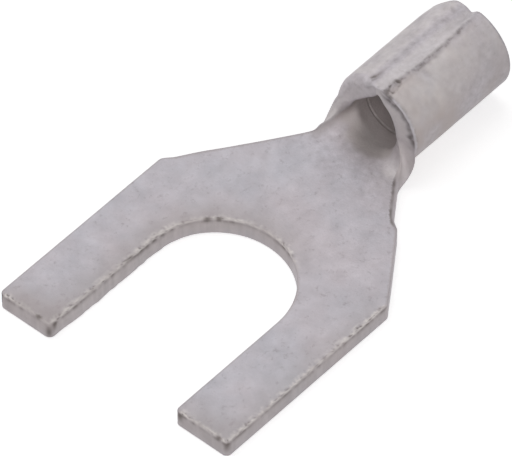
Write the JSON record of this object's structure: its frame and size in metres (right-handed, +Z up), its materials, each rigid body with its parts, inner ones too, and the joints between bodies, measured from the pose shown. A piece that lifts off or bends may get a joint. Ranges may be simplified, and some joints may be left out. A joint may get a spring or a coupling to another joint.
{
  "type": "fork crimp terminal",
  "caption": "Bare fork crimp terminal, rolled from one sheet: a slotted flat fork slides under a screw head and a seamed barrel is crimped on a stripped wire.",
  "frame": {"origin": "centre of the slot's round end, on the underside of the fork", "axes": "+X from the slot along the barrel, towards the wire; +Y across the fork; +Z up from the underside"},
  "size_m": [0.0215, 0.012, 0.0042],
  "materials": {
    "tinned_copper": "matte"
  },
  "bodies": {
    "root": {"fork_terminal": "tinned_copper"}
  },
  "joints": []
}
